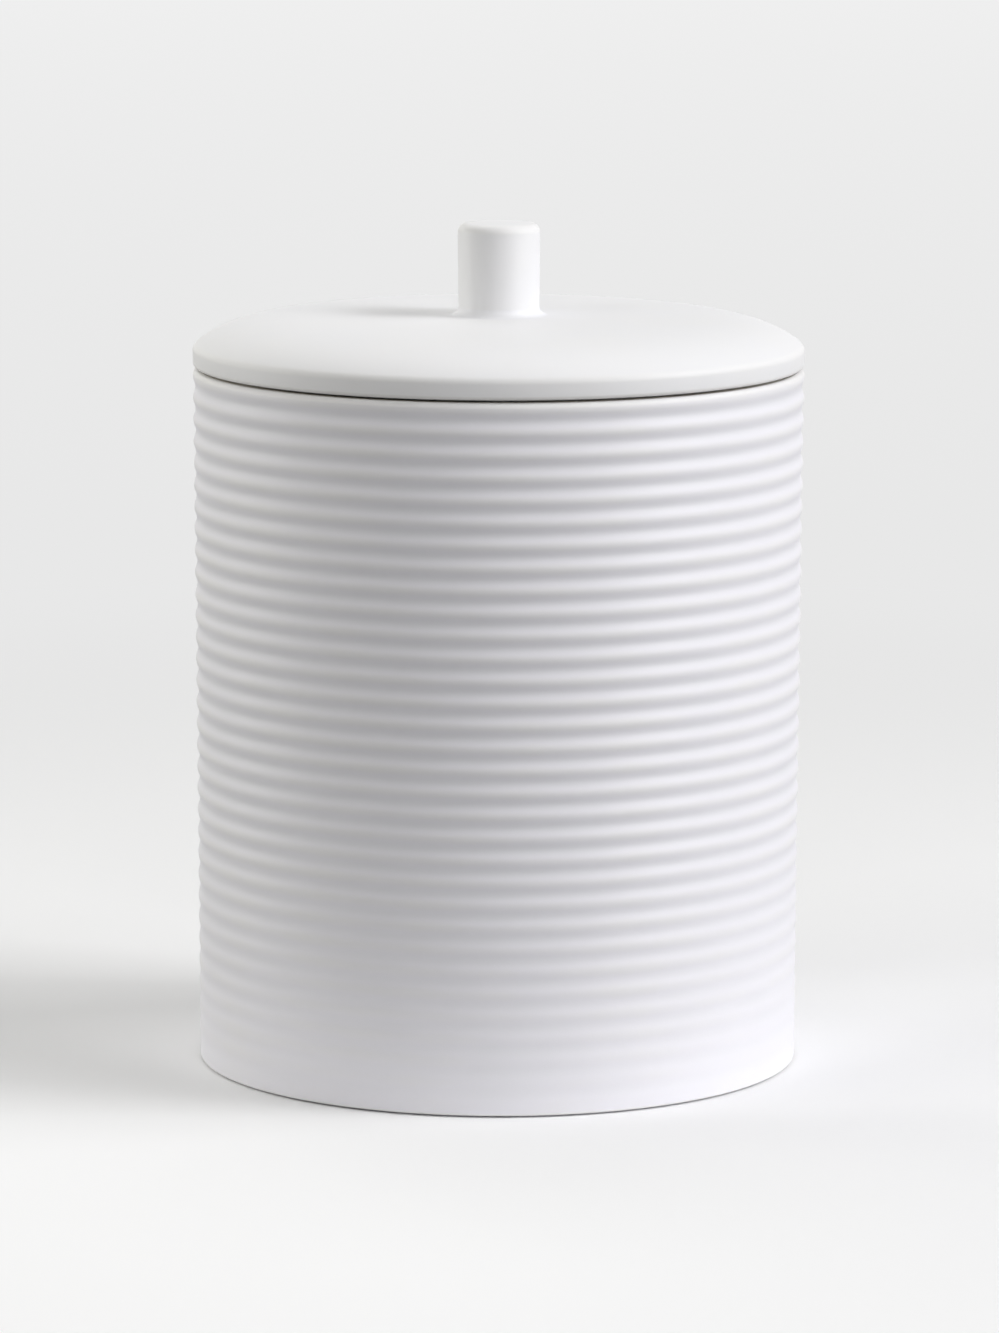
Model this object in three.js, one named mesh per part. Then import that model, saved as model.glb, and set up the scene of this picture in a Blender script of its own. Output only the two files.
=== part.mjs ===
// A ribbed ceramic storage jar with a domed lid, a round knob and a silicone seal ring.
// Millimetres, +Z up. The origin is the centre of the foot ring, on the surface that the jar stands on.
// Every piece is a turned form: an outline of (radius, height) points revolved round the Z axis.

import * as THREE from "three";

// Jar body
const jarBaseDiameter = 147.8;
const wallFlare = 1.1;
const jarHeight = 171.7;
const wallThickness = 5.2;
const floorThickness = 5;
const floorCornerRadius = 9;

// Ribs: the crests lie on the tapered wall line, and the grooves are cut into it
const ribPitch = 5.39;
const ribDepth = 0.8;
const ribCrestWidth = 2.2;
const firstGrooveDrop = 4.4;
const baseBandHeight = 5.0;
const fadedRibCount = 11;
const faintestRibShare = 0.2;

// Rim and foot: the foot ring is set in from the wall, whose lower edge stays a little off the ground
const rimOuterRounding = 0.8;
const rimInnerRounding = 0.8;
const footSetIn = 3.0;
const footLift = 0.45;
const footRingWidth = 5.6;
const footRecessDepth = 1.5;
const footSlopeWidth = 2.2;
const lowerEdgeRounding = 0.5;

// Lid
const seatClearance = 0.3;
const seatLandWidth = 1.2;
const edgeRelief = 0.2;
const lidEdgeHeight = 5.6;
const lidLowerRounding = 1.0;
const lidUpperRounding = 2.2;
const crownRise = 6.9;
const crownFullness = 8.3;
const lidThickness = 6;
const ceilingCornerRadius = 4;

// Plug below the lid, with a groove for the seal ring
const plugClearance = 1.6;
const plugWall = 6.8;
const plugDepth = 10.5;
const plugRounding = 1.2;
const grooveDepth = 2.8;
const grooveHeight = 5;
const grooveTopDrop = 2.6;

// Knob
const knobTopDiameter = 20.2;
const knobWaistDiameter = 19.9;
const knobHeight = 22.8;
const knobFillet = 2.2;
const knobTopRounding = 2.2;
const knobTopDome = 0.3;

// Seal ring
const sealClearance = 0.3;
const sealBandThickness = 2.2;
const sealFinCount = 2;
const sealFinThickness = 0.9;
const sealFinLift = 0.5;

// Facets: steps round the axis, and steps in one rounded corner
const turnSteps = 40;
const cornerSteps = 3;
const crownSteps = 10;
const crownStepBias = 1.5;

// Derived sizes. The wall leans out by the flare on each side, and the lid is as wide as the jar's top.
const jarTopDiameter = jarBaseDiameter + 2 * wallFlare;
const jarTopRadius = jarTopDiameter / 2;
const jarBaseRadius = jarBaseDiameter / 2;
const mouthRadius = jarTopRadius - wallThickness;
const floorRadius = jarBaseRadius - wallThickness;
const floorTop = footRecessDepth + floorThickness;
const lidRadius = jarTopRadius;
const plugRadius = mouthRadius - plugClearance;
const plugHollowRadius = plugRadius - plugWall;
const grooveRadius = plugRadius - grooveDepth;
const lidSeat = jarHeight + seatClearance;
const crownEdge = edgeRelief + lidEdgeHeight;
const crownTop = crownEdge + crownRise;
const ceiling = crownTop - lidThickness;
const grooveBottom = -grooveTopDrop - grooveHeight;

// The rounded upper edge of the lid stops where it has turned as far as the crown slopes there.
const crownEdgeSlope = Math.atan((crownRise * crownFullness) / lidRadius);
const crownRadius = lidRadius - lidUpperRounding * (1 - Math.sin(crownEdgeSlope));
const upperRoundingHeight = crownEdge - lidUpperRounding * Math.cos(crownEdgeSlope);

const glazeColour = 0xf2f2f3;
const siliconeColour = 0xe6e7e6;

function point(radius, height) {
  return new THREE.Vector2(radius, height);
}

// Points of an arc about a centre in the (radius, height) plane, from one angle to another in degrees.
function arc(centreRadius, centreHeight, radius, fromDegrees, toDegrees, steps) {
  const points = [];
  for (let i = 0; i <= steps; i++) {
    const angle = THREE.MathUtils.degToRad(THREE.MathUtils.lerp(fromDegrees, toDegrees, i / steps));
    points.push(point(centreRadius + radius * Math.cos(angle), centreHeight + radius * Math.sin(angle)));
  }
  return points;
}

// An outline that runs from low on the axis, outwards, up and back in gives faces that point out.
function turned(outline) {
  const geometry = new THREE.LatheGeometry(outline, turnSteps);
  geometry.rotateX(Math.PI / 2);
  return geometry;
}

function glaze() {
  return new THREE.MeshStandardMaterial({ color: glazeColour, roughness: 0.55, metalness: 0 });
}

function silicone() {
  return new THREE.MeshStandardMaterial({ color: siliconeColour, roughness: 0.6, metalness: 0 });
}

// Radius of the line that the rib crests touch, which widens evenly from base to rim.
function crestRadius(height) {
  return THREE.MathUtils.lerp(jarBaseRadius, jarTopRadius, height / jarHeight);
}

// Grooves from the lowest to the highest. The lowest ones are shallower, as on a form that was wiped there.
function ribGrooves() {
  const highest = jarHeight - firstGrooveDrop;
  const count = Math.floor((highest - baseBandHeight) / ribPitch) + 1;
  const grooves = [];
  for (let i = 0; i < count; i++) {
    const share = THREE.MathUtils.lerp(faintestRibShare, 1, Math.min(1, i / fadedRibCount));
    grooves.push({ height: highest - (count - 1 - i) * ribPitch, depth: ribDepth * share });
  }
  return grooves;
}

// Outer wall: at each groove its floor, and between two grooves a crest with two shoulders.
function ribbedWall() {
  const grooves = ribGrooves();
  const points = [];
  grooves.forEach((groove, i) => {
    const shoulder = (ribPitch - ribCrestWidth) / 2;
    const below = groove.height - shoulder;
    const above = groove.height + shoulder;
    points.push(point(crestRadius(below), below));
    points.push(point(crestRadius(groove.height) - groove.depth, groove.height));
    const top = Math.min(above, jarHeight - rimOuterRounding);
    points.push(point(crestRadius(top), top));
  });
  return points;
}

function jarBodyOutline() {
  const footOuter = jarBaseRadius - footSetIn;
  const footInner = footOuter - footRingWidth;
  const lowerEdge = jarBaseRadius - lowerEdgeRounding;
  const rimOuter = jarTopRadius - rimOuterRounding;
  const rimInner = mouthRadius + rimInnerRounding;
  const floorCorner = floorRadius - floorCornerRadius;
  return [
    point(0, footRecessDepth),
    point(footInner - footSlopeWidth, footRecessDepth),
    point(footInner, 0),
    point(footOuter, 0),
    point(footOuter, footLift),
    ...arc(lowerEdge, footLift + lowerEdgeRounding, lowerEdgeRounding, -90, 0, cornerSteps),
    ...ribbedWall(),
    ...arc(rimOuter, jarHeight - rimOuterRounding, rimOuterRounding, 0, 90, cornerSteps).slice(1),
    ...arc(rimInner, jarHeight - rimInnerRounding, rimInnerRounding, 90, 180, cornerSteps),
    ...arc(floorCorner, floorTop + floorCornerRadius, floorCornerRadius, 0, -90, cornerSteps + 1),
    point(0, floorTop),
  ];
}

// Height of the lid's crown over the seat land. It is nearly flat in the middle and falls off at the edge.
function crownHeight(radius) {
  return crownTop - crownRise * (radius / crownRadius) ** crownFullness;
}

// The crown from its edge to the knob, with shorter steps near the edge, where it bends most.
function crown(toRadius) {
  const points = [];
  for (let i = 1; i < crownSteps; i++) {
    const radius = THREE.MathUtils.lerp(crownRadius, toRadius, (i / crownSteps) ** crownStepBias);
    points.push(point(radius, crownHeight(radius)));
  }
  return points;
}

function knob() {
  const waist = knobWaistDiameter / 2;
  const top = crownTop + knobHeight;
  const topEdge = top - knobTopDome;
  const topRadius = knobTopDiameter / 2;
  return [
    ...arc(waist + knobFillet, crownTop + knobFillet, knobFillet, 270, 180, cornerSteps),
    ...arc(topRadius - knobTopRounding, topEdge - knobTopRounding, knobTopRounding, 0, 90, cornerSteps),
    point(0, top),
  ];
}

function plug() {
  return [
    ...arc(plugHollowRadius - ceilingCornerRadius, ceiling - ceilingCornerRadius, ceilingCornerRadius, 90, 0, cornerSteps),
    ...arc(plugHollowRadius + plugRounding, plugRounding - plugDepth, plugRounding, 180, 270, cornerSteps - 1),
    ...arc(plugRadius - plugRounding, plugRounding - plugDepth, plugRounding, -90, 0, cornerSteps - 1),
    point(plugRadius, grooveBottom),
    point(grooveRadius, grooveBottom),
    point(grooveRadius, grooveBottom + grooveHeight),
    point(plugRadius, grooveBottom + grooveHeight),
    point(plugRadius, 0),
  ];
}

// The lid's heights count from its seat land, the flat ring that rests on the rim.
function lidOutline() {
  const landEnd = mouthRadius + rimInnerRounding + seatLandWidth;
  const lowerCentre = lidRadius - lidLowerRounding;
  const upperCentre = lidRadius - lidUpperRounding;
  const upperEnd = 90 - THREE.MathUtils.radToDeg(crownEdgeSlope);
  const knobFoot = knobWaistDiameter / 2 + knobFillet;
  return [
    point(0, ceiling),
    ...plug(),
    point(landEnd, 0),
    point(landEnd + edgeRelief, edgeRelief),
    ...arc(lowerCentre, edgeRelief + lidLowerRounding, lidLowerRounding, -90, 0, cornerSteps),
    ...arc(upperCentre, upperRoundingHeight, lidUpperRounding, 0, upperEnd, cornerSteps),
    ...crown(knobFoot),
    ...knob(),
  ];
}

// One soft fin that leans up from the band towards the jar's inner wall.
function sealFin(bandRadius, tipRadius, root) {
  return [
    point(bandRadius, root),
    point(tipRadius, root + sealFinLift),
    point(tipRadius, root + sealFinLift + sealFinThickness / 2),
    point(bandRadius, root + sealFinThickness),
  ];
}

// The ring's heights count from the groove's lower flank.
function sealOutline() {
  const inner = grooveRadius + sealClearance;
  const band = inner + sealBandThickness;
  const tip = mouthRadius * Math.cos(Math.PI / turnSteps) - sealClearance;
  const bottom = sealClearance;
  const top = grooveHeight - sealClearance;
  const finSpacing = (top - bottom) / sealFinCount;
  const points = [point(inner, bottom), point(band, bottom)];
  for (let i = 0; i < sealFinCount; i++) {
    const root = bottom + (i + 0.5) * finSpacing - sealFinThickness / 2;
    points.push(...sealFin(band, tip, root));
  }
  points.push(point(band, top), point(inner, top), point(inner, bottom));
  return points;
}

function piece(name, outline, material) {
  const mesh = new THREE.Mesh(turned(outline), material);
  mesh.name = name;
  return mesh;
}

const jar = new THREE.Group();
jar.add(piece("jar_body", jarBodyOutline(), glaze()));

const lidAssembly = new THREE.Group();
lidAssembly.position.z = lidSeat;
lidAssembly.add(piece("lid", lidOutline(), glaze()));

const seal = piece("seal_ring", sealOutline(), silicone());
seal.position.z = grooveBottom;
lidAssembly.add(seal);
jar.add(lidAssembly);

export default jar;
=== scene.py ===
"""A ribbed ceramic storage jar with a domed lid, a round knob and a silicone seal ring.

Every piece is a turned form: its outline is drawn point by point and spun round the Z axis. Lengths are in
metres. Outlines are lists of (radius, height) points that run from low on the axis, outwards, up and back in.
"""

import math
from typing import NamedTuple

import bmesh
import bpy
from bpy.props import FloatProperty, FloatVectorProperty, IntProperty, PointerProperty
from mathutils import Euler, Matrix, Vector


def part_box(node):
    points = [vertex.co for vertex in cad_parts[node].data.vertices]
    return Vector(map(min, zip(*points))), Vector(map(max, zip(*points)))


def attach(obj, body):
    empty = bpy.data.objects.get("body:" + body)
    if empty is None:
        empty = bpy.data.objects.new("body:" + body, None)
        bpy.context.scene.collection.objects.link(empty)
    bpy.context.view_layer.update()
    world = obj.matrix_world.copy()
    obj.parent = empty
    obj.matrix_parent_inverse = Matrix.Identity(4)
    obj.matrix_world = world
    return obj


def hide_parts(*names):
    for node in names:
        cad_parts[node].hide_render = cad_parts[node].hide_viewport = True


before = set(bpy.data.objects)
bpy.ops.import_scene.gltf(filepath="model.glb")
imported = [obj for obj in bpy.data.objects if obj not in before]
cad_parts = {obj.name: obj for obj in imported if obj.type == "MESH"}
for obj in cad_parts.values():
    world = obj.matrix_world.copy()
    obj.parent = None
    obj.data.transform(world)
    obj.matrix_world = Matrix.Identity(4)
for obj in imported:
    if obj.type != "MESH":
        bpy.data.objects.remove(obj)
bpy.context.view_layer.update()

bl_info = {
    "name": "Storage Jar",
    "version": (1, 0, 0),
    "blender": (4, 5, 0),
    "location": "View3D > Sidebar > Storage Jar",
    "description": "Models a ribbed ceramic storage jar with a knobbed lid and its studio stage",
    "category": "Add Mesh",
}

JAR_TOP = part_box("jar_body")[1].z
LID_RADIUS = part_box("lid")[1].x
SEAL_LOW, SEAL_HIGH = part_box("seal_ring")

TURN_STEPS = 176
CORNER_STEPS = 6
EASING_STEPS = 3
FLOOR_CORNER_STEPS = 12
KNOB_FILLET_STEPS = 10
KNOB_EDGE_STEPS = 8
FIN_TIP_STEPS = 4
FIN_TIP_ANGLE = 60
CROWN_BIAS = 1.5  # above 1, the crown's points crowd towards its edge, where it bends most
MERGE_DISTANCE = 1e-5
SMOOTH_ANGLE = math.radians(50)
ROUND_COSINE = 0.1  # an edge runs round the axis when its cosine to the radius is smaller

# How thick the glaze lies, from 0 to 1
THIN_FILM = 0.1
FLAT_FILM = 0.5
POOLED_FILM = 0.9

NODE_SPACING = 200
WHITE = (1.0, 1.0, 1.0, 1.0)
FLOOR_SIDES = 128
FLOOR_RADIUS = 14


def size(name, description, default):
    """A length that a user may change."""
    return FloatProperty(name=name, description=description, default=default, min=0, unit="LENGTH", precision=5)


def share(name, description, default):
    """A value from 0 to 1."""
    return FloatProperty(name=name, description=description, default=default, min=0, max=1, subtype="FACTOR")


def colour(name, description, default):
    """A colour in linear light."""
    return FloatVectorProperty(
        name=name, description=description, default=default, size=3, min=0, max=1, subtype="COLOR"
    )


class StorageJarBody(bpy.types.PropertyGroup):
    """Sizes of the jar body"""

    flare: size("Wall flare", "How far the rim stands out past the base", 0.0011)
    wall: size("Wall", "Thickness of the wall at the mouth", 0.0052)
    floor: size("Floor", "Thickness of the floor", 0.005)
    floor_corner: size("Floor corner", "Radius between the floor and the wall inside", 0.009)
    rib_pitch: size("Rib pitch", "Height from one groove to the next", 0.00539)
    rib_depth: size("Rib depth", "Depth of a full groove", 0.0006)
    first_groove: size("First groove", "Drop from the rim to the middle of the highest groove", 0.0044)
    base_band: size("Base band", "Plain height below the lowest groove", 0.005)
    faded_ribs: IntProperty(name="Faded ribs", description="Lowest grooves that fade out", default=11, min=1)
    faintest_rib: share("Faintest rib", "Depth of the lowest groove as a share of a full one", 0.2)
    rib_points: IntProperty(name="Rib points", description="Points that draw one rib", default=12, min=4)
    rim_outer: size("Outer rim", "Rounding of the rim outside", 0.0015)
    rim_lean: FloatProperty(
        name="Rim lean",
        description="Lean of the wall where the outer rim's rounding starts",
        default=math.radians(10),
        subtype="ANGLE",
    )
    rim_inner: size("Inner rim", "Rounding of the rim inside", 0.0008)
    foot_ring: size("Foot ring", "Width of the unglazed ring that the jar stands on", 0.0056)
    foot_recess: size("Foot recess", "Depth of the recess inside the foot ring", 0.0015)
    foot_slope: size("Foot slope", "Width of the slope from the foot ring up into its recess", 0.0022)
    foot_set_in: size("Foot set in", "How far the foot ring stands in from the wall", 0.003)
    foot_lift: size("Foot lift", "Height of the wall's lower edge over the ground", 0.00045)
    lower_edge: size("Lower edge", "Rounding of the wall's lower edge", 0.0005)


class StorageJarLid(bpy.types.PropertyGroup):
    """Sizes of the lid, its plug and its knob"""

    seat: size("Seat", "Height of the lid's seat over the origin", 0.172)
    land: size("Seat land", "Width of the flat ring that rests on the rim", 0.0012)
    relief: size("Edge relief", "Step from the seat land up to the underside of the edge", 0.00035)
    edge: size("Edge height", "Height from the underside of the lid's edge to the crown", 0.00545)
    lower_rounding: size("Lower rounding", "Rounding below the edge", 0.001)
    upper_rounding: size("Upper rounding", "Rounding above the edge", 0.0022)
    crown_rise: size("Crown rise", "Rise of the crown from the edge to the knob", 0.0069)
    crown_fullness: FloatProperty(
        name="Crown fullness", description="How flat the crown stays before it falls off", default=8.3, min=1
    )
    crown_points: IntProperty(name="Crown points", description="Points that draw the crown", default=26, min=4)
    thickness: size("Thickness", "Thickness of the lid under the knob", 0.006)
    ceiling_corner: size("Ceiling corner", "Radius between the ceiling and the plug inside", 0.004)
    plug_clearance: size("Plug clearance", "Gap between the plug and the mouth", 0.0016)
    plug_wall: size("Plug wall", "Thickness of the plug", 0.0068)
    plug_depth: size("Plug depth", "Depth of the plug below the seat", 0.0105)
    plug_rounding: size("Plug rounding", "Rounding of the plug's lower edge", 0.0012)
    groove_depth: size("Groove depth", "Depth of the groove that holds the seal ring", 0.0028)
    groove_height: size("Groove height", "Height of the groove that holds the seal ring", 0.005)
    groove_drop: size("Groove drop", "Drop from the seat to the groove", 0.0026)
    groove_easing: size("Groove easing", "Rounding of the groove's outer edges", 0.0004)
    knob_top: size("Knob top", "Diameter of the knob under its top", 0.0202)
    knob_waist: size("Knob waist", "Diameter of the knob above its fillet", 0.0199)
    knob_height: size("Knob height", "Height of the knob over the crown", 0.0228)
    knob_fillet: size("Knob fillet", "Radius between the knob and the crown", 0.0022)
    knob_rounding: size("Knob rounding", "Rounding of the knob's top edge", 0.0022)
    knob_dome: size("Knob dome", "Rise of the knob's top from its edge to its middle", 0.0003)


class StorageJarSeal(bpy.types.PropertyGroup):
    """Sizes of the seal ring"""

    band: size("Band", "Thickness of the band that sits in the groove", 0.0022)
    band_rounding: size("Band rounding", "Rounding of the band's corners", 0.0004)
    fins: IntProperty(name="Fins", description="Number of soft fins", default=2, min=1)
    fin_thickness: size("Fin thickness", "Thickness of a fin at its root", 0.0009)
    fin_lift: size("Fin lift", "How far a fin leans up", 0.0005)
    fin_tip: size("Fin tip", "Radius of a fin's round tip", 0.0002)
    clearance: size("Clearance", "Gap between the band and the bottom of its groove", 0.0003)


class StorageJarFinish(bpy.types.PropertyGroup):
    """Colours and gloss of the glaze, the bare clay and the silicone"""

    # The body's glaze is bluer than the lid's, though both are one glaze: the extra blue is painted light, a cool
    # cast on the body's lit side.
    glaze: colour("Glaze", "Colour of the white glaze", (0.8225, 0.813, 0.86))
    lid_glaze: colour("Lid glaze", "Colour of the less blue glaze on the lid and inside", (0.817, 0.815, 0.829))
    thin_glaze: colour("Thin glaze", "Colour where the glaze runs thin over an edge", (0.827, 0.819, 0.817))
    pooled_glaze: colour("Pooled glaze", "Colour where the glaze pools in a hollow", (0.79, 0.793, 0.828))
    # On the rim's top and under the lid's edge this darker clay is also painted shade in the gap between lid and jar.
    clay: colour("Bare clay", "Colour of the unglazed foot, rim and underside of the lid's edge", (0.64, 0.61, 0.56))
    clay_fleck: colour("Clay fleck", "Colour of the dark grains in the bare clay", (0.42, 0.36, 0.30))
    film_reach: size("Film reach", "Radius of an edge or hollow where the glaze runs thinnest or pools most", 0.001)
    silicone: colour("Silicone", "Colour of the seal ring", (0.80, 0.81, 0.80))
    outside_roughness: share("Outside roughness", "Roughness of the satin glaze outside", 0.52)
    outside_change: share("Outside roughness change", "How much it differs where glaze is thin or pooled", 0.06)
    inside_roughness: share("Inside roughness", "Roughness of the smoother glaze inside", 0.2)
    inside_change: share("Inside roughness change", "How much it differs where glaze is thin or pooled", 0.04)
    clay_roughness: share("Clay roughness", "Roughness of the bare clay", 0.92)


class StorageJarStage(bpy.types.PropertyGroup):
    """The camera, the lamps and the floor"""

    camera_height: size("Camera height", "Height of the camera over the floor", 0.3611)
    camera_distance: size("Camera distance", "Distance of the camera from the jar's axis", 1.645)
    camera_shift: size("Camera shift", "How far the camera stands to the right of the jar's axis", 0.00035)
    camera_pitch: FloatProperty(
        name="Camera pitch",
        description="Angle that the camera looks down",
        default=math.radians(9.11),
        subtype="ANGLE",
    )
    camera_roll: FloatProperty(
        name="Camera roll",
        description="Angle that the camera leans to its left",
        default=math.radians(0.12),
        subtype="ANGLE",
    )
    lens: FloatProperty(name="Lens", description="Focal length in millimetres", default=182.1, min=1)
    light: FloatProperty(name="Light", description="Strength of all the lamps together", default=0.98, min=0)
    surround: FloatProperty(name="Surround", description="Strength of the even light all round", default=0.0, min=0)
    floor_colour: colour("Floor", "Colour of the floor", (0.946, 0.946, 0.956))
    backdrop: colour("Backdrop", "Colour that the floor gives way to behind the jar", (0.807, 0.807, 0.807))
    # The far backdrop's paler colour is painted light on the backdrop.
    far_backdrop: colour("Far backdrop", "Colour of the backdrop where it is furthest off", (0.866, 0.866, 0.866))
    paper_start: size("Paper start", "Distance past which the floor throws less light at the jar", 0.105)
    paper_end: size("Paper end", "Distance past which only the room throws light at the jar from below", 0.145)
    room: colour("Room", "Colour of the room below, which lights the jar but is never seen", (0.3, 0.3, 0.3))
    fade_start: size("Fade start", "Distance from the jar at which the lit floor starts to give way", 0.3)
    fade_end: size("Fade end", "Distance from the jar past which only the backdrop is seen", 0.8)
    far_start: size("Far start", "Distance from the jar at which the backdrop starts to turn paler", 1.0)
    far_end: size("Far end", "Distance from the jar past which the backdrop has its far colour", 4.5)


class StorageJar(bpy.types.PropertyGroup):
    """Everything that a user may set"""

    body: PointerProperty(type=StorageJarBody)
    lid: PointerProperty(type=StorageJarLid)
    seal: PointerProperty(type=StorageJarSeal)
    finish: PointerProperty(type=StorageJarFinish)
    stage: PointerProperty(type=StorageJarStage)


# Outlines


def point(radius, height):
    return Vector((radius, height))


def lerp(start, end, part):
    return start + (end - start) * part


def arc(centre_radius, centre_height, radius, start, end, steps=CORNER_STEPS):
    """Points of an arc in the (radius, height) plane, from one angle to another in degrees."""
    angles = [math.radians(lerp(start, end, i / steps)) for i in range(steps + 1)]
    return [point(centre_radius + radius * math.cos(a), centre_height + radius * math.sin(a)) for a in angles]


def crest_radius(sizes, height):
    """Radius of the line that the rib crests touch, which widens evenly from base to rim."""
    return lerp(LID_RADIUS - sizes.flare, LID_RADIUS, height / JAR_TOP)


def grooves(sizes):
    """(height, depth) of each groove from the lowest, which is the faintest, to one that the rim cuts off."""
    highest = JAR_TOP - sizes.first_groove
    count = math.floor((highest - sizes.base_band) / sizes.rib_pitch) + 1
    made = []
    for i in range(count + 1):
        strength = lerp(sizes.faintest_rib, 1, min(1, i / sizes.faded_ribs))
        made.append((highest - (count - 1 - i) * sizes.rib_pitch, sizes.rib_depth * strength))
    return made


def ribbed_wall(sizes, low, high):
    """The outer wall between two heights, with a smooth wave for each groove."""
    points = []
    for middle, depth in grooves(sizes):
        for i in range(sizes.rib_points):
            turn = i / sizes.rib_points - 0.5
            height = middle + turn * sizes.rib_pitch
            dip = depth * (1 + math.cos(math.tau * turn)) / 2
            if low < height < high:
                points.append(point(crest_radius(sizes, height) - dip, height))
    return points


def jar_body_outline(sizes):
    """The rim's outer rounding starts tangent to the last rib, where the wall leans in by rim_lean."""
    base_radius = crest_radius(sizes, 0)
    mouth = LID_RADIUS - sizes.wall
    floor_radius = base_radius - sizes.wall
    floor_top = sizes.foot_recess + sizes.floor
    foot_outer = base_radius - sizes.foot_set_in
    edge = sizes.lower_edge
    foot_inner = foot_outer - sizes.foot_ring
    lean = sizes.rim_lean
    rim_low = JAR_TOP - sizes.rim_outer * (1 - math.sin(lean))
    corner = floor_radius - sizes.floor_corner
    wall = ribbed_wall(sizes, sizes.foot_lift + edge, rim_low)
    rim_edge = wall[-1].x - (rim_low - wall[-1].y) * math.tan(lean) - sizes.rim_outer * math.cos(lean)
    return [
        point(0, sizes.foot_recess),
        *arc(foot_inner - sizes.foot_slope - sizes.foot_recess, 0, sizes.foot_recess, 90, 45, EASING_STEPS),
        point(foot_inner, 0),
        point(foot_outer, 0),
        point(foot_outer, sizes.foot_lift),
        *arc(base_radius - edge, sizes.foot_lift + edge, edge, -90, 0),
        *wall,
        *arc(rim_edge, JAR_TOP - sizes.rim_outer, sizes.rim_outer, math.degrees(lean), 90),
        *arc(mouth + sizes.rim_inner, JAR_TOP - sizes.rim_inner, sizes.rim_inner, 90, 180),
        *arc(corner, floor_top + sizes.floor_corner, sizes.floor_corner, 0, -90, FLOOR_CORNER_STEPS),
        point(0, floor_top),
    ]


def ceiling_height(sizes):
    """Height of the lid's ceiling over its seat."""
    return sizes.relief + sizes.edge + sizes.crown_rise - sizes.thickness


def lid_outline(sizes, mouth, rim_inner):
    """The lid's heights count from its seat and are raised to the seat at the end."""
    crown_edge = sizes.relief + sizes.edge
    crown_top = crown_edge + sizes.crown_rise
    ceiling = ceiling_height(sizes)
    slope = math.atan(sizes.crown_rise * sizes.crown_fullness / LID_RADIUS)
    crown_radius = LID_RADIUS - sizes.upper_rounding * (1 - math.sin(slope))
    plug_radius = mouth - sizes.plug_clearance
    hollow_radius = plug_radius - sizes.plug_wall
    groove_radius = plug_radius - sizes.groove_depth
    groove_low = -sizes.groove_drop - sizes.groove_height
    land_end = mouth + rim_inner + sizes.land
    waist = sizes.knob_waist / 2
    fillet = sizes.knob_fillet
    knob_top = crown_top + sizes.knob_height
    knob_edge = sizes.knob_rounding
    top_radius = sizes.knob_top / 2 - knob_edge
    easing = sizes.groove_easing
    rounding = sizes.plug_rounding

    def dome_point(i):
        part = 1 - i / CORNER_STEPS
        return point(top_radius * part, knob_top - sizes.knob_dome * part * part)

    def crown_point(i):
        radius = lerp(crown_radius, waist + fillet, (i / sizes.crown_points) ** CROWN_BIAS)
        return point(radius, crown_top - sizes.crown_rise * (radius / crown_radius) ** sizes.crown_fullness)

    outline = [
        point(0, ceiling),
        *arc(hollow_radius - sizes.ceiling_corner, ceiling - sizes.ceiling_corner, sizes.ceiling_corner, 90, 0),
        *arc(hollow_radius + rounding, rounding - sizes.plug_depth, rounding, 180, 270),
        *arc(plug_radius - rounding, rounding - sizes.plug_depth, rounding, -90, 0),
        *arc(plug_radius - easing, groove_low - easing, easing, 0, 90, EASING_STEPS),
        point(groove_radius, groove_low),
        point(groove_radius, -sizes.groove_drop),
        *arc(plug_radius - easing, easing - sizes.groove_drop, easing, -90, 0, EASING_STEPS),
        point(plug_radius, 0),
        point(land_end, 0),
        point(land_end + sizes.relief, sizes.relief),
        *arc(LID_RADIUS - sizes.lower_rounding, sizes.relief + sizes.lower_rounding, sizes.lower_rounding, -90, 0),
        *arc(
            LID_RADIUS - sizes.upper_rounding,
            crown_edge - sizes.upper_rounding * math.cos(slope),
            sizes.upper_rounding,
            0,
            90 - math.degrees(slope),
        ),
        *[crown_point(i) for i in range(1, sizes.crown_points)],
        *arc(waist + fillet, crown_top + fillet, fillet, 270, 180, KNOB_FILLET_STEPS),
        *arc(top_radius, knob_top - sizes.knob_dome - knob_edge, knob_edge, 0, 90, KNOB_EDGE_STEPS),
        *[dome_point(i) for i in range(1, CORNER_STEPS + 1)],
    ]
    return [p + point(0, sizes.seat) for p in outline]


def seal_fin(sizes, band_radius, tip_radius, root):
    """One soft fin that leans up from the band towards the jar's inner wall."""
    tip = sizes.fin_tip
    tip_height = root + sizes.fin_lift + tip
    return [
        point(band_radius, root),
        *arc(tip_radius - tip, tip_height, tip, -FIN_TIP_ANGLE, FIN_TIP_ANGLE, FIN_TIP_STEPS),
        point(band_radius, root + sizes.fin_thickness),
    ]


def seal_outline(sizes, inner):
    """A closed loop round the ring's section, from its lower inner corner and back to it."""
    band = inner + sizes.band
    bottom, top = SEAL_LOW.z, SEAL_HIGH.z
    spacing = (top - bottom) / sizes.fins
    rounding = sizes.band_rounding
    points = [
        *arc(inner + rounding, bottom + rounding, rounding, 180, 270, EASING_STEPS),
        *arc(band - rounding, bottom + rounding, rounding, -90, 0, EASING_STEPS),
    ]
    for i in range(sizes.fins):
        root = bottom + (i + 0.5) * spacing - sizes.fin_thickness / 2
        points += seal_fin(sizes, band, SEAL_HIGH.x, root)
    points += [
        *arc(band - rounding, top - rounding, rounding, 0, 90, EASING_STEPS),
        *arc(inner + rounding, top - rounding, rounding, 90, 180, EASING_STEPS),
    ]
    return points + points[:1]


# Modelling


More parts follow.
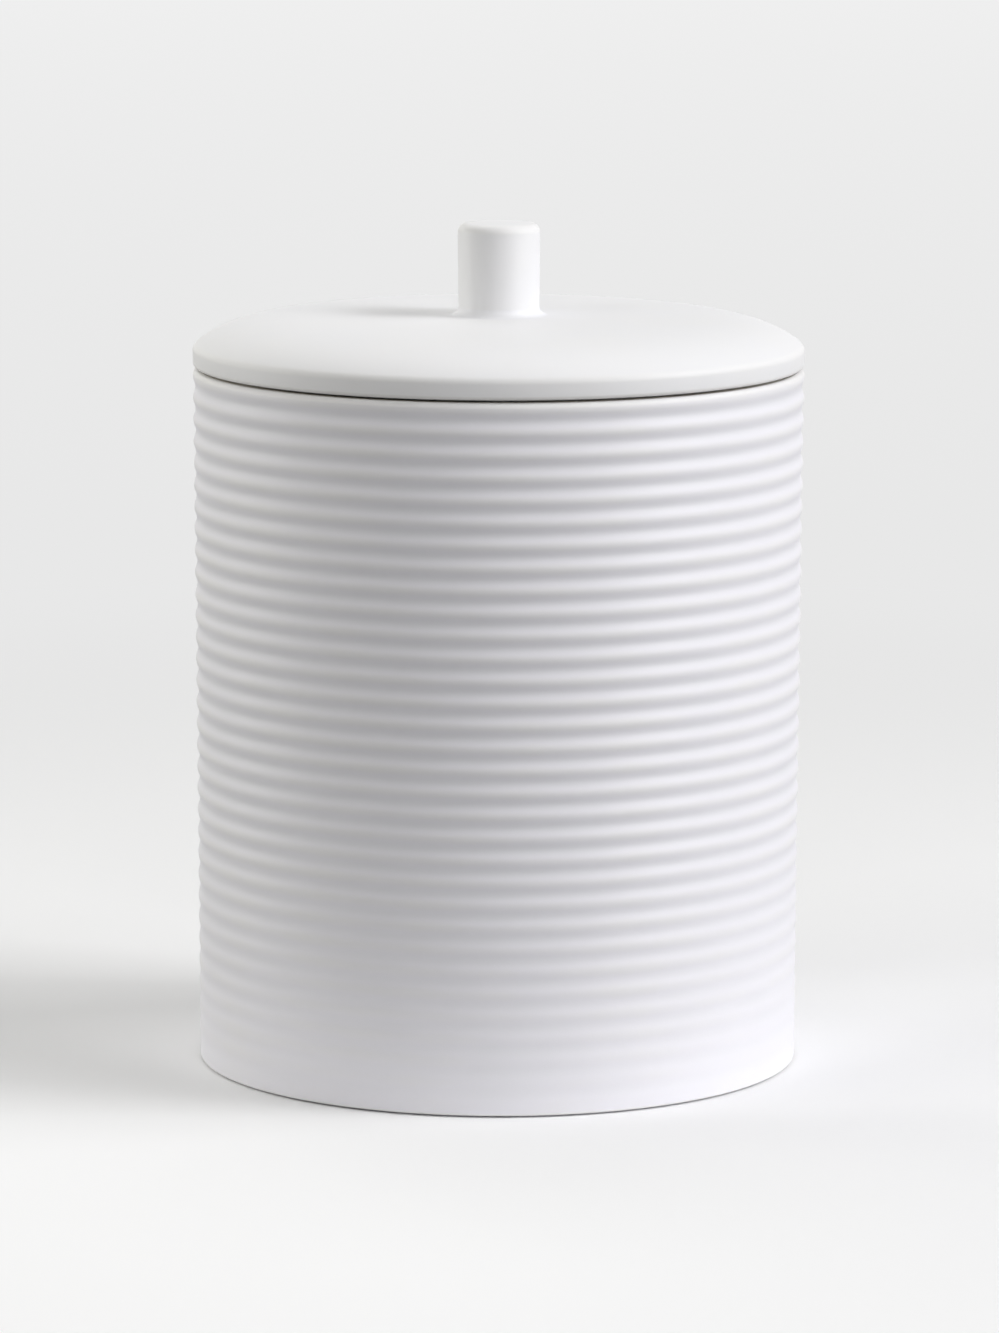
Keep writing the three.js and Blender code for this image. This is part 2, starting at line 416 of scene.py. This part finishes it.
def turned(name, outline):
    """A closed piece: the outline is drawn point by point from one vertex and spun round Z."""
    first = outline[0]
    bpy.ops.object.select_all(action="DESELECT")
    bpy.ops.mesh.primitive_plane_add(size=MERGE_DISTANCE, location=(first.x, 0, first.y))
    piece = bpy.context.active_object
    piece.name = piece.data.name = name
    bpy.ops.object.mode_set(mode="EDIT")
    bpy.ops.mesh.merge(type="CENTER")
    for here, there in zip(outline, outline[1:]):
        step = there - here
        bpy.ops.mesh.extrude_region_move(TRANSFORM_OT_translate={"value": (step.x, 0, step.y)})
    bpy.ops.mesh.select_all(action="SELECT")
    bpy.ops.mesh.remove_doubles(threshold=MERGE_DISTANCE)
    bpy.ops.mesh.spin(steps=TURN_STEPS, angle=math.tau, center=(0, 0, 0), axis=(0, 0, 1))
    bpy.ops.mesh.select_all(action="SELECT")
    bpy.ops.mesh.remove_doubles(threshold=MERGE_DISTANCE)
    bpy.ops.mesh.normals_make_consistent(inside=False)
    bpy.ops.object.mode_set(mode="OBJECT")
    bpy.ops.object.transform_apply(location=True, rotation=True, scale=True)
    bpy.ops.object.shade_smooth_by_angle(angle=SMOOTH_ANGLE)
    return piece


def runs_round(edge, vertex):
    """Whether an edge at the vertex lies between two faces, level, and across the radius."""
    along = edge.verts[1].co - edge.verts[0].co
    across = abs(along.dot(vertex.co)) < ROUND_COSINE * along.length * vertex.co.length
    return len(edge.link_faces) == 2 and abs(along.z) < MERGE_DISTANCE and across


def glaze_film(piece, reach):
    """Writes how thick the glaze lies at each vertex: 0 over a sharp edge, 1 in a tight hollow, 0.5 on the flat.

    Only edges that run round the axis count, so the piece's own roundness is left out. reach is the radius of
    an edge or hollow that counts in full.
    """
    mesh = bmesh.new()
    mesh.from_mesh(piece.data)
    film = piece.data.attributes.new("glaze_film", "FLOAT", "POINT")
    for vertex in mesh.verts:
        bends = []
        for edge in vertex.link_edges:
            if runs_round(edge, vertex):
                width = sum(face.calc_area() for face in edge.link_faces) / (2 * edge.calc_length())
                bends.append(edge.calc_face_angle_signed() / width)
        bend = sum(bends) / len(bends) if bends else 0
        film.data[vertex.index].value = min(1, max(0, FLAT_FILM - bend * reach / 2))
    mesh.free()


def paint(piece, materials, pick):
    """Gives the piece its materials. pick says which one a face at a radius and height has."""
    for material in materials:
        piece.data.materials.append(material)
    for face in piece.data.polygons:
        face.material_index = pick(face.center.xy.length, face.center.z)


# Materials


NOISE_MIDDLE = 0.5
GRAIN_EDGE, GRAIN_CORE = 0.35, 0.15  # how far a larger grain reaches in its cell
CLOUD_DETAIL, RING_DETAIL, GRAIN_DETAIL = 4.0, 2.0, 6.0

CLOUDS_PER_METRE = 45.0
CLOUD_STRENGTH = 0.5
RINGS_PER_METRE = 900.0
RING_HEIGHT = 0.5  # against the height of the glaze's grain

CLEAR_ROUGHNESS, BLOOM_ROUGHNESS = 0.38, 0.56
BLOOM_BRIGHTNESS = 1.06
SILICONE_TRANSLUCENCY = 0.35
SILICONE_REACH = (0.003, 0.003, 0.003)  # how far light of each colour goes below the surface


def node(tree, kind, inputs=None, **settings):
    """A node with its settings, and each named input set to a value or linked to a socket."""
    made = tree.nodes.new(kind)
    made.location.x = NODE_SPACING * len(tree.nodes)
    for name, value in settings.items():
        setattr(made, name, value)
    for name, value in (inputs or {}).items():
        if isinstance(value, bpy.types.NodeSocket):
            tree.links.new(value, made.inputs[name])
        else:
            made.inputs[name].default_value = value
    return made


def maths(tree, operation, first, second):
    """The result of a sum or comparison of two values."""
    return node(tree, "ShaderNodeMath", {0: first, 1: second}, operation=operation).outputs[0]


def mixed(tree, factor, first, second):
    """A colour that goes from the first to the second with the factor."""
    mix = node(tree, "ShaderNodeMix", {"Factor": factor, "A": first, "B": second}, data_type="RGBA")
    return mix.outputs["Result"]


def ranged(tree, value, start, end, low=0.0, high=1.0, **settings):
    """A value that goes from low to high while the given one goes from start to end."""
    inputs = {"Value": value, "From Min": start, "From Max": end, "To Min": low, "To Max": high}
    return node(tree, "ShaderNodeMapRange", inputs, **settings).outputs[0]


def new_group(name, inputs, outputs):
    """An empty shader node group with its sockets, and its input and output nodes."""
    group = bpy.data.node_groups.new(name, "ShaderNodeTree")
    for label, kind in inputs.items():
        group.interface.new_socket(label, in_out="INPUT", socket_type=kind)
    for label, kind in outputs.items():
        group.interface.new_socket(label, in_out="OUTPUT", socket_type=kind)
    return group, group.nodes.new("NodeGroupInput").outputs, group.nodes.new("NodeGroupOutput").inputs


def glaze_depth_group():
    """Colour of a glaze that runs thin over edges, pools in hollows and clouds a little."""
    group, given, out = new_group(
        "Glaze depth",
        {
            "Glaze": "NodeSocketColor",
            "Thin": "NodeSocketColor",
            "Pooled": "NodeSocketColor",
            "Cloud Scale": "NodeSocketFloat",
            "Cloud Strength": "NodeSocketFloat",
        },
        {"Color": "NodeSocketColor", "Film": "NodeSocketFloat"},
    )
    place = node(group, "ShaderNodeTexCoord").outputs["Object"]
    film = node(group, "ShaderNodeAttribute", attribute_name="glaze_film").outputs["Fac"]
    clouds = node(
        group, "ShaderNodeTexNoise", {"Vector": place, "Scale": given["Cloud Scale"], "Detail": CLOUD_DETAIL}
    )
    cloud = maths(group, "SUBTRACT", clouds.outputs["Fac"], NOISE_MIDDLE)
    uneven = maths(group, "ADD", film, maths(group, "MULTIPLY", cloud, given["Cloud Strength"]))
    thin = ranged(group, uneven, FLAT_FILM, THIN_FILM)
    pooled = ranged(group, uneven, FLAT_FILM, POOLED_FILM)
    tinted = mixed(group, thin, given["Glaze"], given["Thin"])
    group.links.new(mixed(group, pooled, tinted, given["Pooled"]), out["Color"])
    group.links.new(uneven, out["Film"])
    return group


def turning_group():
    """Faint rings left by the wheel, which follow the piece's radius and height."""
    group, given, out = new_group(
        "Turning rings", {"Rings per Metre": "NodeSocketFloat"}, {"Height": "NodeSocketFloat"}
    )
    place = node(group, "ShaderNodeTexCoord").outputs["Object"]
    parts = node(group, "ShaderNodeSeparateXYZ", {"Vector": place}).outputs
    flat = node(group, "ShaderNodeCombineXYZ", {"X": parts["X"], "Y": parts["Y"]}).outputs[0]
    radius = node(group, "ShaderNodeVectorMath", {0: flat}, operation="LENGTH").outputs["Value"]
    section = node(group, "ShaderNodeCombineXYZ", {"X": radius, "Z": parts["Z"]}).outputs[0]
    rings = node(
        group, "ShaderNodeTexNoise", {"Vector": section, "Scale": given["Rings per Metre"], "Detail": RING_DETAIL}
    )
    group.links.new(rings.outputs["Fac"], out["Height"])
    return group


def grain_group():
    """Fine grain, as of clay or of the skin of a glaze, with sparse larger grains in it."""
    group, given, out = new_group(
        "Fine grain",
        {"Scale": "NodeSocketFloat", "Sparseness": "NodeSocketFloat"},
        {"Height": "NodeSocketFloat", "Grains": "NodeSocketFloat"},
    )
    place = node(group, "ShaderNodeTexCoord").outputs["Object"]
    grain = node(group, "ShaderNodeTexNoise", {"Vector": place, "Scale": given["Scale"], "Detail": GRAIN_DETAIL})
    cells = node(group, "ShaderNodeTexVoronoi", {"Vector": place, "Scale": given["Scale"]})
    chosen = node(group, "ShaderNodeSeparateColor", {"Color": cells.outputs["Color"]}).outputs[0]
    rare = maths(group, "GREATER_THAN", chosen, given["Sparseness"])
    near = ranged(group, cells.outputs["Distance"], GRAIN_EDGE, GRAIN_CORE)
    group.links.new(grain.outputs["Fac"], out["Height"])
    group.links.new(maths(group, "MULTIPLY", rare, near), out["Grains"])
    return group


def placed(tree, build, name, inputs):
    """A group node with its own values. The group is built the first time."""
    group = bpy.data.node_groups.get(name) or build()
    return node(tree, "ShaderNodeGroup", inputs, node_tree=group).outputs


def new_material(name):
    """A material, its node tree and the inputs of its shader."""
    material = bpy.data.materials.new(name)
    material.use_nodes = True
    return material, material.node_tree, material.node_tree.nodes["Principled BSDF"].inputs


def opaque(value):
    """A linear colour as a socket takes it."""
    return (*value, 1.0)


class Grain(NamedTuple):
    """The fine grain of a finish. sparseness is the share of its larger grains that are left out."""

    per_metre: float
    sparseness: float
    bump_strength: float
    bump_distance: float


GLAZE_GRAIN = Grain(per_metre=1800.0, sparseness=0.97, bump_strength=0.25, bump_distance=0.00004)
CLAY_GRAIN = Grain(per_metre=2600.0, sparseness=0.86, bump_strength=0.6, bump_distance=0.00015)
SILICONE_GRAIN = Grain(per_metre=3000.0, sparseness=0.95, bump_strength=0.2, bump_distance=0.00003)


def fine_grain(tree, grain):
    """The grain's height, and its larger grains by themselves."""
    return placed(tree, grain_group, "Fine grain", {"Scale": grain.per_metre, "Sparseness": grain.sparseness})


def bump(tree, height, grain):
    """A normal that shows the height as bumps as strong as the grain's."""
    inputs = {"Height": height, "Strength": grain.bump_strength, "Distance": grain.bump_distance}
    return node(tree, "ShaderNodeBump", inputs).outputs["Normal"]


def glaze_material(name, finish, glaze, roughness, change):
    """White glaze, rougher by the change where it runs thin and smoother by it where it pools."""
    material, tree, shader = new_material(name)
    depth = placed(
        tree,
        glaze_depth_group,
        "Glaze depth",
        {
            "Glaze": opaque(glaze),
            "Thin": opaque(finish.thin_glaze),
            "Pooled": opaque(finish.pooled_glaze),
            "Cloud Scale": CLOUDS_PER_METRE,
            "Cloud Strength": CLOUD_STRENGTH,
        },
    )
    rings = placed(tree, turning_group, "Turning rings", {"Rings per Metre": RINGS_PER_METRE})
    grain = fine_grain(tree, GLAZE_GRAIN)
    tree.links.new(depth["Color"], shader["Base Color"])
    tree.links.new(ranged(tree, depth["Film"], 0.0, 1.0, roughness + change, roughness - change), shader["Roughness"])
    height = maths(tree, "ADD", maths(tree, "MULTIPLY", rings["Height"], RING_HEIGHT), grain["Height"])
    pitted = maths(tree, "SUBTRACT", height, grain["Grains"])
    tree.links.new(bump(tree, pitted, GLAZE_GRAIN), shader["Normal"])
    return material


def clay_gap_shade_material(finish):
    """Bare fired clay on the foot ring, the top of the rim and the underside of the lid's edge.

    On the rim's top and under the lid's edge its darker tone is also painted shade in the gap between lid and jar.
    """
    material, tree, shader = new_material("bare_clay_gap_shade")
    grain = fine_grain(tree, CLAY_GRAIN)
    tone = mixed(tree, grain["Grains"], opaque(finish.clay), opaque(finish.clay_fleck))
    tree.links.new(tone, shader["Base Color"])
    shader["Roughness"].default_value = finish.clay_roughness
    tree.links.new(bump(tree, grain["Height"], CLAY_GRAIN), shader["Normal"])
    return material


def silicone_material(finish):
    """Soft translucent silicone with a faint bloom."""
    material, tree, shader = new_material("silicone")
    grain = fine_grain(tree, SILICONE_GRAIN)
    pale = tuple(min(1, part * BLOOM_BRIGHTNESS) for part in finish.silicone)
    tree.links.new(mixed(tree, grain["Height"], opaque(finish.silicone), opaque(pale)), shader["Base Color"])
    tree.links.new(ranged(tree, grain["Height"], 0.0, 1.0, CLEAR_ROUGHNESS, BLOOM_ROUGHNESS), shader["Roughness"])
    tree.links.new(bump(tree, grain["Height"], SILICONE_GRAIN), shader["Normal"])
    shader["Subsurface Weight"].default_value = SILICONE_TRANSLUCENCY
    shader["Subsurface Radius"].default_value = SILICONE_REACH
    return material


def shared_material(name, build, *values):
    """A material that more than one piece uses. It is built the first time."""
    return bpy.data.materials.get(name) or build(*values)


def outside_glaze(name, finish, glaze):
    return glaze_material(name, finish, glaze, finish.outside_roughness, finish.outside_change)


def inside_glaze(finish):
    return glaze_material("gloss_glaze", finish, finish.lid_glaze, finish.inside_roughness, finish.inside_change)


SATIN, GLOSS, CLAY = range(3)


def ceramic_materials(finish, outside):
    """The glaze outside, the glaze inside and the bare clay, whose darker tone also paints shade in the lid's gap, in
    the order of SATIN, GLOSS and CLAY.
    """
    return [
        outside,
        shared_material("gloss_glaze", inside_glaze, finish),
        shared_material("bare_clay_gap_shade", clay_gap_shade_material, finish),
    ]


# Stage


def direction(azimuth, elevation):
    """Unit vector from the jar. Azimuth 0 is towards the camera and 90 to its right, in degrees."""
    a, e = math.radians(azimuth), math.radians(elevation)
    return Vector((math.sin(a) * math.cos(e), -math.cos(a) * math.cos(e), math.sin(e)))


class Lamp(NamedTuple):
    """A soft rectangular lamp that looks at the middle of the jar. Angles are in degrees, power is in watts."""

    name: str
    azimuth: float
    elevation: float
    distance: float
    width: float
    height: float
    power: float
    tint: tuple = (1.0, 1.0, 1.0)


WARM = (1.0, 0.995, 0.94)
LAMPS = (
    Lamp("key", azimuth=77, elevation=35, distance=3.0, width=0.9, height=0.9, power=37.9),
    Lamp("low_key", azimuth=60, elevation=12, distance=3.0, width=0.9, height=0.9, power=29.7),
    Lamp("back_key", azimuth=95, elevation=40, distance=3.0, width=0.9, height=0.9, power=15.8),
    Lamp("high_key", azimuth=77, elevation=68, distance=3.0, width=1.3, height=1.3, power=2.8),
    Lamp("front", azimuth=0, elevation=40, distance=1.4, width=0.8, height=0.8, power=3.1),
    Lamp("top_back", azimuth=180, elevation=70, distance=1.4, width=0.8, height=0.8, power=3.9),
    Lamp("fill", azimuth=-60, elevation=35, distance=1.4, width=0.6, height=0.6, power=3.8, tint=WARM),
    Lamp("low_fill", azimuth=-100, elevation=10, distance=1.4, width=0.6, height=0.5, power=4.1, tint=WARM),
    Lamp("back_fill", azimuth=-130, elevation=28, distance=3.0, width=3.2, height=2.6, power=26.5, tint=WARM),
)


def add_lamp(lamp, strength):
    """An area lamp at its place, with its power times the strength."""
    towards = direction(lamp.azimuth, lamp.elevation)
    place = Vector((0, 0, JAR_TOP / 2)) + towards * lamp.distance
    bpy.ops.object.light_add(type="AREA", location=place, rotation=towards.to_track_quat("Z", "Y").to_euler())
    made = bpy.context.active_object
    made.name = lamp.name
    made.data.shape = "RECTANGLE"
    made.data.size = lamp.width
    made.data.size_y = lamp.height
    made.data.energy = lamp.power * strength
    made.data.color = lamp.tint


def seen(tree):
    """1 for rays that show the backdrop itself: straight from the camera, or through a reflection or glass."""
    path = node(tree, "ShaderNodeLightPath").outputs
    either = maths(tree, "MAXIMUM", path["Is Camera Ray"], path["Is Glossy Ray"])
    return maths(tree, "MAXIMUM", either, path["Is Transmission Ray"])


def floor_material(stage):
    """Lit floor near the jar, which gives way to a pale backdrop further off; the backdrop turning paler with
    distance is painted light.

    The camera sees white paper, but past the paper's end only the dark room throws light at the jar.
    """
    material = bpy.data.materials.new("floor")
    material.use_nodes = True
    tree = material.node_tree
    tree.nodes.clear()
    place = node(tree, "ShaderNodeTexCoord").outputs["Object"]
    distance = node(tree, "ShaderNodeVectorMath", {0: place}, operation="LENGTH").outputs["Value"]
    off = ranged(tree, distance, stage.fade_start, stage.fade_end, interpolation_type="SMOOTHSTEP")
    # The backdrop's turn to a paler colour further off is painted light on the paper.
    far = ranged(tree, distance, stage.far_start, stage.far_end)
    pale = mixed(tree, far, opaque(stage.backdrop), opaque(stage.far_backdrop))
    past_paper = ranged(tree, distance, stage.paper_start, stage.paper_end)
    visible = seen(tree)
    dark = maths(tree, "MULTIPLY", past_paper, maths(tree, "SUBTRACT", 1.0, visible))
    ground = mixed(tree, dark, opaque(stage.floor_colour), opaque(stage.room))
    lit = node(tree, "ShaderNodeBsdfDiffuse", {"Color": ground}).outputs[0]
    plain = node(tree, "ShaderNodeEmission", {"Color": pale}).outputs[0]
    shown = maths(tree, "MULTIPLY", off, visible)
    mix = node(tree, "ShaderNodeMixShader", {0: shown, 1: lit, 2: plain}).outputs[0]
    node(tree, "ShaderNodeOutputMaterial", {"Surface": mix})
    return material


def light_world(stage):
    """An even surround, dark unless its strength is raised, that shows the camera the backdrop's colour."""
    world = bpy.data.worlds.new("surround")
    bpy.context.scene.world = world
    world.use_nodes = True
    tree = world.node_tree
    tree.nodes.clear()
    light = node(tree, "ShaderNodeBackground", {"Color": WHITE, "Strength": stage.surround}).outputs[0]
    # The camera sees the far backdrop's paler colour here too, painted light.
    plain = node(tree, "ShaderNodeBackground", {"Color": opaque(stage.far_backdrop), "Strength": 1.0}).outputs[0]
    mix = node(tree, "ShaderNodeMixShader", {0: seen(tree), 1: light, 2: plain}).outputs[0]
    node(tree, "ShaderNodeOutputWorld", {"Surface": mix})


# Operators


class STORAGEJAR_OT_body(bpy.types.Operator):
    """Turn the ribbed jar body with its rim, floor and foot ring"""

    bl_idname = "storage_jar.body"
    bl_label = "Jar Body"

    def execute(self, context):
        jar = context.scene.storage_jar
        sizes = jar.body
        piece = turned("ribbed_jar", jar_body_outline(sizes))
        glaze_film(piece, jar.finish.film_reach)
        floor_top = sizes.foot_recess + sizes.floor
        wall_middle = LID_RADIUS - sizes.wall / 2
        foot_height = sizes.foot_lift + MERGE_DISTANCE
        foot_outer = crest_radius(sizes, 0) - sizes.foot_set_in
        rim_start = LID_RADIUS - sizes.wall + sizes.rim_inner
        rim_end = LID_RADIUS - sizes.rim_outer - sizes.rib_depth / 2

        def finish_of(radius, height):
            if height < foot_height and radius < foot_outer + MERGE_DISTANCE:
                return CLAY
            # The bare clay on the rim's top is partly real and partly painted shade: its darker tone darkens the gap
            # under the lid.
            if abs(height - JAR_TOP) < MERGE_DISTANCE and rim_start < radius < rim_end:
                return CLAY
            inside = radius < wall_middle and floor_top - MERGE_DISTANCE < height < JAR_TOP - sizes.rim_inner
            return GLOSS if inside else SATIN

        # Painted light: the body's glaze carries an extra blue, a cool cast on its lit side, that the lid's glaze
        # lacks.
        glaze = outside_glaze("satin_glaze", jar.finish, jar.finish.glaze)
        paint(piece, ceramic_materials(jar.finish, glaze), finish_of)
        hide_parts("jar_body")
        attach(piece, "jar")
        return {"FINISHED"}


class STORAGEJAR_OT_lid(bpy.types.Operator):
    """Turn the lid with its crown, knob and grooved plug"""

    bl_idname = "storage_jar.lid"
    bl_label = "Lid"

    def execute(self, context):
        jar = context.scene.storage_jar
        sizes = jar.lid
        mouth = LID_RADIUS - jar.body.wall
        piece = turned("knobbed_lid", lid_outline(sizes, mouth, jar.body.rim_inner))
        glaze_film(piece, jar.finish.film_reach)
        plug_radius = mouth - sizes.plug_clearance
        plug_edge = plug_radius - sizes.plug_wall + sizes.plug_rounding
        underside_end = LID_RADIUS - sizes.lower_rounding
        ceiling = sizes.seat + ceiling_height(sizes)

        def finish_of(radius, height):
            # The bare clay under the lid's edge is partly real and partly painted shade: its darker tone darkens the
            # gap above the rim.
            underside = sizes.seat - MERGE_DISTANCE < height < sizes.seat + sizes.relief + MERGE_DISTANCE
            if underside and plug_radius < radius < underside_end:
                return CLAY
            return GLOSS if radius < plug_edge and height < ceiling + MERGE_DISTANCE else SATIN

        glaze = outside_glaze("lid_satin_glaze", jar.finish, jar.finish.lid_glaze)
        paint(piece, ceramic_materials(jar.finish, glaze), finish_of)
        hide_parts("lid")
        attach(piece, "lid")
        return {"FINISHED"}


class STORAGEJAR_OT_seal(bpy.types.Operator):
    """Turn the silicone seal ring with its soft fins"""

    bl_idname = "storage_jar.seal"
    bl_label = "Seal Ring"

    def execute(self, context):
        jar = context.scene.storage_jar
        groove_radius = LID_RADIUS - jar.body.wall - jar.lid.plug_clearance - jar.lid.groove_depth
        piece = turned("finned_seal", seal_outline(jar.seal, groove_radius + jar.seal.clearance))
        paint(piece, [silicone_material(jar.finish)], lambda radius, height: 0)
        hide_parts("seal_ring")
        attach(piece, "seal")
        return {"FINISHED"}


class STORAGEJAR_OT_stage(bpy.types.Operator):
    """Set up the floor, the lamps, the surround and the camera"""

    bl_idname = "storage_jar.stage"
    bl_label = "Stage"

    def execute(self, context):
        stage = context.scene.storage_jar.stage
        bpy.ops.object.select_all(action="DESELECT")
        bpy.ops.mesh.primitive_circle_add(
            vertices=FLOOR_SIDES, radius=FLOOR_RADIUS, fill_type="TRIFAN", location=(0, 0, 0)
        )
        floor = context.active_object
        floor.name = "floor"
        floor.data.materials.append(floor_material(stage))
        light_world(stage)
        for lamp in LAMPS:
            add_lamp(lamp, stage.light)
        aim = Euler((math.pi / 2 - stage.camera_pitch, 0, stage.camera_roll), "ZXY")
        bpy.ops.object.camera_add(
            location=(stage.camera_shift, -stage.camera_distance, stage.camera_height),
            rotation=aim.to_matrix().to_euler(),
        )
        camera = context.active_object
        camera.name = "camera"
        camera.data.lens = stage.lens
        context.scene.camera = camera
        context.scene.view_settings.view_transform = "Standard"
        return {"FINISHED"}


class STORAGEJAR_PT_panel(bpy.types.Panel):
    """Lists the pieces of the jar and the stage"""

    bl_idname = "STORAGEJAR_PT_panel"
    bl_label = "Storage Jar"
    bl_space_type = "VIEW_3D"
    bl_region_type = "UI"
    bl_category = "Storage Jar"

    def draw(self, context):
        for operator in OPERATORS:
            self.layout.operator(operator.bl_idname)


GROUPS = (
    StorageJarBody,
    StorageJarLid,
    StorageJarSeal,
    StorageJarFinish,
    StorageJarStage,
    StorageJar,
)
OPERATORS = (STORAGEJAR_OT_body, STORAGEJAR_OT_lid, STORAGEJAR_OT_seal, STORAGEJAR_OT_stage)
CLASSES = (*GROUPS, *OPERATORS, STORAGEJAR_PT_panel)


def register():
    for cls in CLASSES:
        bpy.utils.register_class(cls)
    bpy.types.Scene.storage_jar = PointerProperty(type=StorageJar)


def unregister():
    del bpy.types.Scene.storage_jar
    for cls in reversed(CLASSES):
        bpy.utils.unregister_class(cls)


def main():
    """Models the jar and its stage."""
    register()
    bpy.ops.storage_jar.body()
    bpy.ops.storage_jar.lid()
    bpy.ops.storage_jar.seal()
    bpy.ops.storage_jar.stage()


if __name__ == "__main__":
    main()
